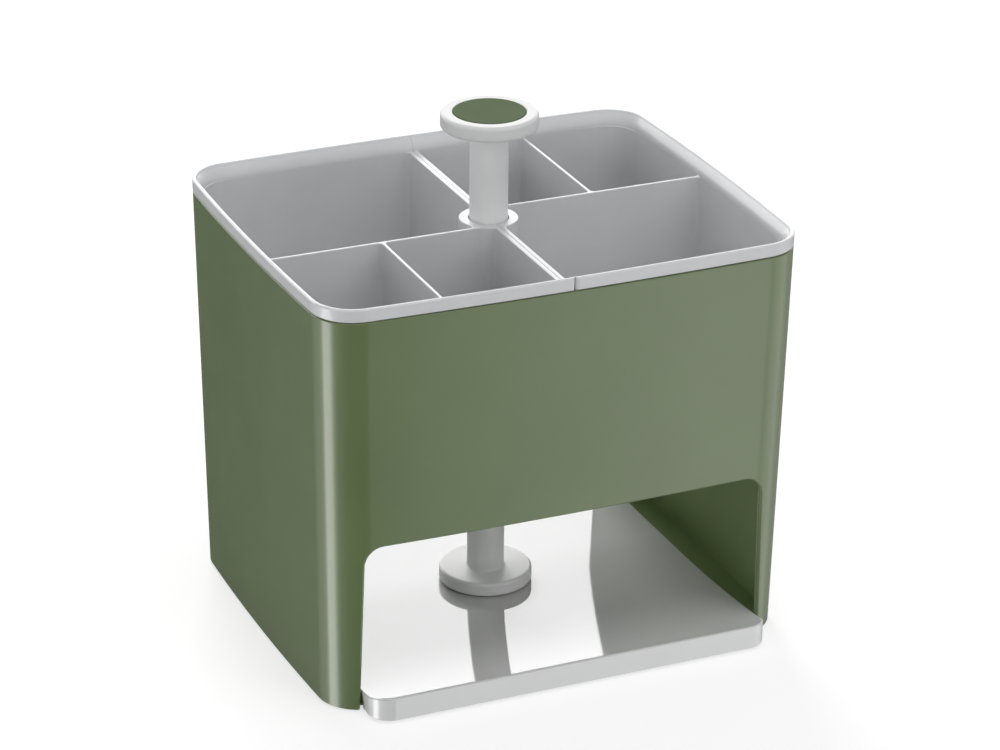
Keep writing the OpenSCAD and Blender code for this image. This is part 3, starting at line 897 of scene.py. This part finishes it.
def plastic(name, colour, rough, vary=0.04, grain=260.0, bump=0.02, **sockets):
    """Moulded plastic: slight mottling in colour and gloss, and a very fine orange peel."""
    material = bpy.data.materials.new(name)
    material.use_nodes = True
    tree = material.node_tree
    nodes = tree.nodes
    shader = nodes["Principled BSDF"]
    for socket, value in sockets.items():
        shader.inputs[socket.replace("_", " ")].default_value = value
    place = nodes.new("ShaderNodeTexCoord")

    def noise(scale, detail):
        node = nodes.new("ShaderNodeTexNoise")
        node.inputs["Scale"].default_value = scale
        node.inputs["Detail"].default_value = detail
        link(tree, place, "Object", node, "Vector")
        return node.outputs["Fac"]

    tint = nodes.new("ShaderNodeVectorMath")
    tint.operation = "SCALE"
    tint.inputs[0].default_value = colour
    tree.links.new(rescale(tree, noise(*MOTTLE), NOISE_SPAN, (1 - vary, 1 + vary)),
                   tint.inputs["Scale"])
    link(tree, tint, "Vector", shader, "Base Color")
    spread = (rough * (1 - ROUGH_VARY), rough * (1 + ROUGH_VARY))
    tree.links.new(rescale(tree, noise(*PATCHES), NOISE_SPAN, spread), shader.inputs["Roughness"])
    peel = nodes.new("ShaderNodeBump")
    peel.inputs["Strength"].default_value = bump
    peel.inputs["Distance"].default_value = GRAIN_DEPTH
    tree.links.new(noise(grain, GRAIN_DETAIL), peel.inputs["Height"])
    link(tree, peel, "Normal", shader, "Normal")
    return material


def dress(piece, material):
    piece.data.materials.clear()
    piece.data.materials.append(material)


# INLAY_PAINTED_SHADE is the same sage plastic painted darker: painted shade against the light on
# the knob's top.
# LINING_PAINTED_LIGHT is the casing's sage plastic painted lighter: painted light on the shaded
# inside of the casing and its runners.
SAGE, LINING_PAINTED_LIGHT, INLAY_PAINTED_SHADE = (0.138, 0.19, 0.082), (0.19, 0.26, 0.11), (0.1, 0.133, 0.073)
# POST_PAINTED_LIGHT, KNOB_PAINTED_SHADE and DISC_PAINTED_LIGHT are one white plastic in three
# shades: the knob painted darker as painted shade on a lit part, the post and disc painted lighter
# as painted light in their shade.
POST_PAINTED_LIGHT, KNOB_PAINTED_SHADE, DISC_PAINTED_LIGHT = (0.9, 0.9, 0.895), (0.71, 0.71, 0.705), (0.92, 0.92, 0.915)
# GLOSSY_PAINTED_SHADE and SATIN_PAINTED_LIGHT are one drawer plastic: its top painted darker as
# painted shade in the bay, its sides painted lighter as painted light.
TRAY, GLOSSY_PAINTED_SHADE, SATIN_PAINTED_LIGHT = (0.67, 0.672, 0.684), (0.59, 0.59, 0.59), (0.79, 0.79, 0.79)
STEEL, RUBBER = (0.62, 0.63, 0.65), (0.045, 0.045, 0.045)
FINE = {"rough": 0.38, "grain": 1100.0}

sage = plastic("sage_plastic_gloss", SAGE, 0.11)
# The casing's inside and runners: the sage plastic painted lighter, as painted light in the
# casing's shade.
inner_sage_painted_light = plastic("lining_plastic_painted_light", LINING_PAINTED_LIGHT, 0.45, Specular_IOR_Level=0.05)
# The knob's inlay: the sage plastic painted darker, as painted shade on its lit top.
inlay_sage_painted_shade = plastic("inlay_plastic_painted_shade", INLAY_PAINTED_SHADE, 0.4, Specular_IOR_Level=0.005)
grey = plastic("tray_plastic_gloss", TRAY, 0.22)
# The knob: the white plastic painted darker, as painted shade.
knob_white_painted_shade = plastic("knob_plastic_painted_shade", KNOB_PAINTED_SHADE, bump=0.12, Specular_IOR_Level=0.1, **FINE)
# The foot disc: the white plastic painted lighter, as painted light in the bay's shade.
disc_white_painted_light = plastic("disc_plastic_painted_light", DISC_PAINTED_LIGHT, bump=0.2, Specular_IOR_Level=0.6, **FINE)
# The post: the white plastic painted lighter, as painted light in the knob's shade.
white = plastic("post_plastic_painted_light", POST_PAINTED_LIGHT, bump=0.12, Specular_IOR_Level=0.1, **FINE)
# The drawer's top: its plastic painted darker, as painted shade.
drawer_top_painted_shade = plastic("drawer_plastic_gloss_painted_shade", GLOSSY_PAINTED_SHADE, 0.05, vary=0.01, bump=0.004, IOR=2.0)
# The drawer's sides: the same plastic painted lighter, as painted light.
drawer_sides_painted_light = plastic("drawer_plastic_satin_painted_light", SATIN_PAINTED_LIGHT, 0.2, vary=0.01, bump=0.01, IOR=1.7)
steel = plastic("plain_steel_brushed", STEEL, 0.3, vary=0.06, grain=900.0, bump=0.15,
                Metallic=1.0)
pad = plastic("foot_rubber_matt", RUBBER, 0.75, vary=0.15, grain=1400.0, bump=0.4)

casing, lining = build_casing()
for piece, material in ((casing, sage), (lining, inner_sage_painted_light), (build_runners(), inner_sage_painted_light)):
    dress(piece, material)
    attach(piece, "casing")
    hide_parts("outer_casing")

for piece, node in zip(build_trays(), ("left_tray", "right_tray")):
    dress(piece, grey)
    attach(piece, "trays")
    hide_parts(node)

PRESSER = {"post_sleeve": ("post_tube", white, "white_plastic"),
           "knob_body": ("knob", knob_white_painted_shade, "white_plastic"),
           "knob_cap": ("knob_inlay", inlay_sage_painted_shade, "sage_plastic"),
           "foot_disc": ("presser_disc", disc_white_painted_light, "white_plastic")}
for name, piece in build_presser().items():
    node, material, slot = PRESSER[name]
    dress(piece, material)
    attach(piece, "presser")
    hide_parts(node)

for piece, material in zip(build_drawer(), (drawer_top_painted_shade, drawer_sides_painted_light)):
    dress(piece, material)
    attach(piece, "drawer")
    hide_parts("drawer")

for node, material in (("weight_rod", steel), ("knob_screw", steel), ("disc_screw", steel),
                       ("non_slip_feet", pad)):
    dress(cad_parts[node], material)


# Stage

# Half size and drop in metres, the colour that lights the object, and the white seen by the camera
FLOOR_HALF, FLOOR_DROP, FLOOR_TONE, PAPER_SHARE, PAPER_LIGHT = 3.0, 0.0002, 0.85, 0.6, 1.1


def build_floor():
    """Floor that is white to the camera, keeps the object's shadow and is not seen in gloss."""
    mesh = bpy.data.meshes.new("floor")
    mesh.from_pydata([(x * FLOOR_HALF, y * FLOOR_HALF, 0)
                      for x, y in ((-1, -1), (1, -1), (1, 1), (-1, 1))], [], [(0, 1, 2, 3)])
    floor = bpy.data.objects.new("floor", mesh)
    floor.location.z = -FLOOR_DROP
    bpy.context.scene.collection.objects.link(floor)
    material = bpy.data.materials.new("floor_paper")
    material.use_nodes = True
    tree = material.node_tree
    shader = tree.nodes["Principled BSDF"]
    shader.inputs["Roughness"].default_value = 0.9
    shader.inputs["Specular IOR Level"].default_value = 0.1
    seen = tree.nodes.new("ShaderNodeLightPath").outputs["Is Camera Ray"]
    tree.links.new(rescale(tree, seen, (0.0, 1.0), (FLOOR_TONE, 1.0)), shader.inputs["Base Color"])
    paper = tree.nodes.new("ShaderNodeEmission")
    paper.inputs["Strength"].default_value = PAPER_LIGHT
    mix = tree.nodes.new("ShaderNodeMixShader")
    tree.links.new(rescale(tree, seen, (0.0, 1.0), (0.0, PAPER_SHARE)), mix.inputs[0])
    link(tree, shader, "BSDF", mix, 1)
    link(tree, paper, "Emission", mix, 2)
    link(tree, mix, "Shader", tree.nodes["Material Output"], "Surface")
    mesh.materials.append(material)
    floor.visible_glossy = False


# What glossy rays see, below and above the horizon: direction in degrees from +X, and brightness
STUDIO = [(0, 1.2), (18, 0.55), (60, 0.2), (105, 0.14), (112, 0.22), (116, 0.3), (125, 0.5),
          (144, 1.1), (156, 1.6), (163, 3.0), (168, 6.2), (184, 6.6), (189, 5.3), (194, 3.0),
          (200, 1.5), (207, 0.9), (218, 0.5), (228, 0.25), (245, 0.1), (268, 0.05), (280, 0.15),
          (286, 0.3), (288, 0.8), (290.3, 1.2), (295, 1.8), (302, 2.4), (304, 2.0), (310, 1.6),
          (323, 1.9), (340, 2.0), (355, 1.8), (360, 1.2)]
SKY = [(0, 1.0), (15, 1.2), (40, 3.3), (120, 3.3), (150, 1.2), (180, 1.0), (360, 1.0)]
BRIGHTEST, SOFT_LIGHT = 8.0, 0.37

# Heights (z of the direction) over which the two fade to plain white, and change into each other
STUDIO_FADE, SKY_FADE, HORIZON = (-0.6, -0.75), (0.66, 0.8), (-0.02, 0.08)


def ramp(tree, source, stops):
    """Brightness by direction, as a ramp whose values are scaled back by BRIGHTEST."""
    node = tree.nodes.new("ShaderNodeValToRGB")
    elements = node.color_ramp.elements
    while len(elements) < len(stops):
        elements.new(0.5)
    for element, (degrees, value) in zip(elements, stops):
        element.position = degrees / 360
        element.color = (value / BRIGHTEST,) * 3 + (1,)
    tree.links.new(source, node.inputs["Fac"])
    return node.outputs["Color"]


def build_world():
    """White to the camera, the studio to glossy rays and a soft even light to all others."""
    world = bpy.data.worlds.new("studio")
    bpy.context.scene.world = world
    world.use_nodes = True
    tree = world.node_tree
    nodes = tree.nodes
    nodes.clear()

    def background(colour, strength):
        node = nodes.new("ShaderNodeBackground")
        node.inputs["Color"].default_value = colour
        node.inputs["Strength"].default_value = strength
        return node

    def maths(operation, a, b):
        node = nodes.new("ShaderNodeMath")
        node.operation = operation
        for slot, value in enumerate((a, b)):
            if isinstance(value, float):
                node.inputs[slot].default_value = value
            else:
                tree.links.new(value, node.inputs[slot])
        return node.outputs["Value"]

    def blend(factor, a, b=None):
        """Colour a where the factor is 0, and b, or plain white, where it is 1.

        Inputs 6 and 7 and output 2 are the node's colour sockets.
        """
        node = nodes.new("ShaderNodeMix")
        node.data_type = "RGBA"
        tree.links.new(factor, node.inputs[0])
        tree.links.new(a, node.inputs[6])
        if b:
            tree.links.new(b, node.inputs[7])
        else:
            node.inputs[7].default_value = (1 / BRIGHTEST,) * 3 + (1,)
        return node.outputs[2]

    def choose(rays, kind, a, b):
        """Shader a for other rays and b for rays of this kind."""
        node = nodes.new("ShaderNodeMixShader")
        link(tree, rays, kind, node, 0)
        tree.links.new(a, node.inputs[1])
        tree.links.new(b, node.inputs[2])
        return node.outputs["Shader"]

    soft = background((0.98, 0.99, 1.0, 1), SOFT_LIGHT)
    plain = background((1, 1, 1, 1), 1.0)
    studio = background((1, 1, 1, 1), BRIGHTEST)
    place = nodes.new("ShaderNodeTexCoord")
    split = nodes.new("ShaderNodeSeparateXYZ")
    link(tree, place, "Generated", split, "Vector")
    height = split.outputs["Z"]
    turn = maths("ARCTAN2", split.outputs["Y"], split.outputs["X"])
    share = maths("FRACT", maths("ADD", maths("DIVIDE", turn, 2 * math.pi), 1.0), 0.0)
    low = blend(rescale(tree, height, STUDIO_FADE), ramp(tree, share, STUDIO))
    high = blend(rescale(tree, height, SKY_FADE), ramp(tree, share, SKY))
    tree.links.new(blend(rescale(tree, height, HORIZON), low, high), studio.inputs["Color"])
    rays = nodes.new("ShaderNodeLightPath")
    backdrop = choose(rays, "Is Camera Ray", soft.outputs["Background"],
                      plain.outputs["Background"])
    everything = choose(rays, "Is Glossy Ray", backdrop, studio.outputs["Background"])
    out = nodes.new("ShaderNodeOutputWorld")
    tree.links.new(everything, out.inputs["Surface"])


def lamp(name, place, aim_z, size, power):
    """Square area lamp aimed at a height on the Z axis, and not seen in gloss."""
    data = bpy.data.lights.new(name, "AREA")
    data.size = size
    data.energy = power
    obj = bpy.data.objects.new(name, data)
    obj.location = place
    ray = Vector((0, 0, aim_z)) - Vector(place)
    obj.rotation_euler = ray.to_track_quat("-Z", "Y").to_euler()
    obj.visible_glossy = False
    bpy.context.scene.collection.objects.link(obj)


build_floor()
build_world()
lamp("top", (0.1, -0.4, 1.75), 0.1, 1.0, 9.3)
lamp("front", (0.6, -1.4, 0.95), 0.08, 0.8, 3.3)
lamp("rear", (0.2, 1.47, 0.92), 0.03, 0.7, 21.5)
lamp("left", (-1.6, -0.4, 0.45), 0.08, 0.7, 3.4)

# Camera fitted to the photograph's edges: angles in radians, and UNIT metres to one unit of the fit
UNIT = 0.00107
AZIMUTH, PITCH, ROLL = -0.4152, 0.4225, 0.0112
DISTANCE, SHIFT_X, SHIFT_Y, AIM_Z = 1502.48 * UNIT, -5.25 * UNIT, 3.05 * UNIT, 0.107
LENS, SENSOR = 133.2, 36.0
level = Vector((math.cos(AZIMUTH), math.sin(AZIMUTH), 0))
ahead = Vector((-math.sin(AZIMUTH) * math.cos(PITCH), math.cos(AZIMUTH) * math.cos(PITCH),
                -math.sin(PITCH)))
upright = level.cross(ahead)
right = level * math.cos(ROLL) + upright * math.sin(ROLL)
above = upright * math.cos(ROLL) - level * math.sin(ROLL)
camera_data = bpy.data.cameras.new("camera")
camera_data.lens = LENS
camera_data.sensor_width = SENSOR
camera = bpy.data.objects.new("camera", camera_data)
bpy.context.scene.collection.objects.link(camera)
target = Vector((0, AXIS_Y * MM, AIM_Z))
stand = target - ahead * DISTANCE - right * SHIFT_X - above * SHIFT_Y
camera.matrix_world = (Matrix.Translation(stand)
                       @ Matrix((right, above, -ahead)).transposed().to_4x4())
bpy.context.scene.camera = camera
bpy.context.scene.view_settings.view_transform = "Standard"
